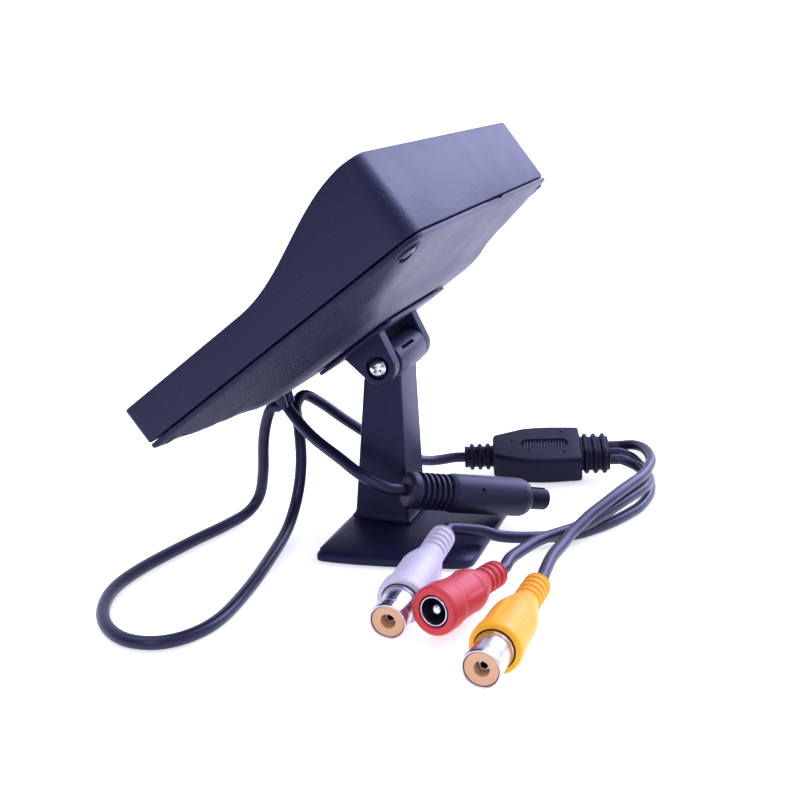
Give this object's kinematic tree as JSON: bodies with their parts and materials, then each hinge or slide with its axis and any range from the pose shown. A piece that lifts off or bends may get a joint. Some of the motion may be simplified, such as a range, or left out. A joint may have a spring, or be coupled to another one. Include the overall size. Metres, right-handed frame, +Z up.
{
  "type": "tilting vehicle monitor with leads",
  "caption": "Hooded vehicle monitor tilting on a clevis stand with an adhesive base, with a camera lead, a splitter and video and power sockets.",
  "frame": {"origin": "centre of the post on the adhesive pad's underside, 1.8 mm in front of the tilt axis", "axes": "+Z up from the surface that the base is stuck to, screen faces -Y and tilts up, tilt axis along X, +X on the viewer's right"},
  "size_m": [0.1428, 0.1117, 0.1014],
  "materials": {
    "case_black": "fine-grained matte moulded plastic, near black with a violet cast",
    "stand_black": "satin moulded plastic, near black",
    "cable_black": "soft PVC with a satin gloss",
    "rubber_black": "matte rubber",
    "steel": "bright zinc plate",
    "backlight_metal": "pressed sheet",
    "nickel": "polished nickel plate",
    "brass": "polished",
    "boot_white": "soft moulded PVC, white with a lavender cast",
    "boot_yellow": "soft moulded PVC, warm yellow",
    "boot_red": "soft moulded PVC, red",
    "insulator_tan": "satin tan plastic",
    "lens_clear": "polished clear acrylic over a dark panel",
    "lcd_glass": "satin",
    "board_green": "solder mask",
    "foam_grey": "closed-cell foam tape"
  },
  "bodies": {
    "stand": {"stand_base": "stand_black", "stand_post": "stand_black", "base_screw": "steel", "adhesive_pad": "foam_grey", "plug_body": "cable_black", "plug_nose": "rubber_black", "splitter_box": "cable_black", "harness_lead": "cable_black", "camera_lead": "cable_black", "video_lead_yellow": "cable_black", "video_lead_white": "cable_black", "power_lead_red": "cable_black", "power_red_boot": "boot_red", "power_red_sleeve": "nickel", "power_red_insert": "rubber_black", "power_red_pin": "nickel", "plug_contact_1": "brass", "plug_contact_2": "brass", "plug_contact_3": "brass", "plug_contact_4": "brass", "video_white_boot": "boot_white", "video_white_barrel": "nickel", "video_white_insulator": "insulator_tan", "video_white_contact": "nickel", "video_yellow_boot": "boot_yellow", "video_yellow_barrel": "nickel", "video_yellow_insulator": "insulator_tan", "video_yellow_contact": "nickel"},
    "head": {"front_bezel": "case_black", "rear_cover": "case_black", "lead_grommet": "rubber_black", "screen_lens": "lens_clear", "lcd_panel": "lcd_glass", "backlight_unit": "backlight_metal", "main_board": "board_green", "display_chip": "rubber_black", "lead_header_left": "boot_white", "lead_header_right": "boot_white", "button_board": "board_green", "case_screw_1": "steel", "case_screw_2": "steel", "case_screw_3": "steel", "case_screw_4": "steel", "bracket_screw_1": "steel", "bracket_screw_2": "steel", "bracket_screw_3": "steel", "bracket_screw_4": "steel", "hinge_bracket": "stand_black", "pivot_screw": "nickel", "spring_washer": "steel", "pivot_nut": "steel"},
    "button_power": {"button_power": "rubber_black"},
    "button_menu": {"button_menu": "rubber_black"},
    "button_minus": {"button_minus": "rubber_black"},
    "button_plus": {"button_plus": "rubber_black"}
  },
  "joints": [
    {"name": "tilt", "type": "hinge", "parent": "stand", "child": "head", "pos_m": [0, 0.0018, 0.04656], "axis": [1, 0, 0], "range_deg": [-30, 40], "deforming": ["harness_lead", "camera_lead"]},
    {"name": "button_power_press", "type": "slide", "parent": "head", "child": "button_power", "axis": [0, 0.6293, -0.7771], "range_m": [0, 0.0005], "stiffness_N_per_m": 300, "springref_m": -0.0005},
    {"name": "button_menu_press", "type": "slide", "parent": "head", "child": "button_menu", "axis": [0, 0.6293, -0.7771], "range_m": [0, 0.0005], "stiffness_N_per_m": 300, "springref_m": -0.0005},
    {"name": "button_minus_press", "type": "slide", "parent": "head", "child": "button_minus", "axis": [0, 0.6293, -0.7771], "range_m": [0, 0.0005], "stiffness_N_per_m": 300, "springref_m": -0.0005},
    {"name": "button_plus_press", "type": "slide", "parent": "head", "child": "button_plus", "axis": [0, 0.6293, -0.7771], "range_m": [0, 0.0005], "stiffness_N_per_m": 300, "springref_m": -0.0005}
  ]
}
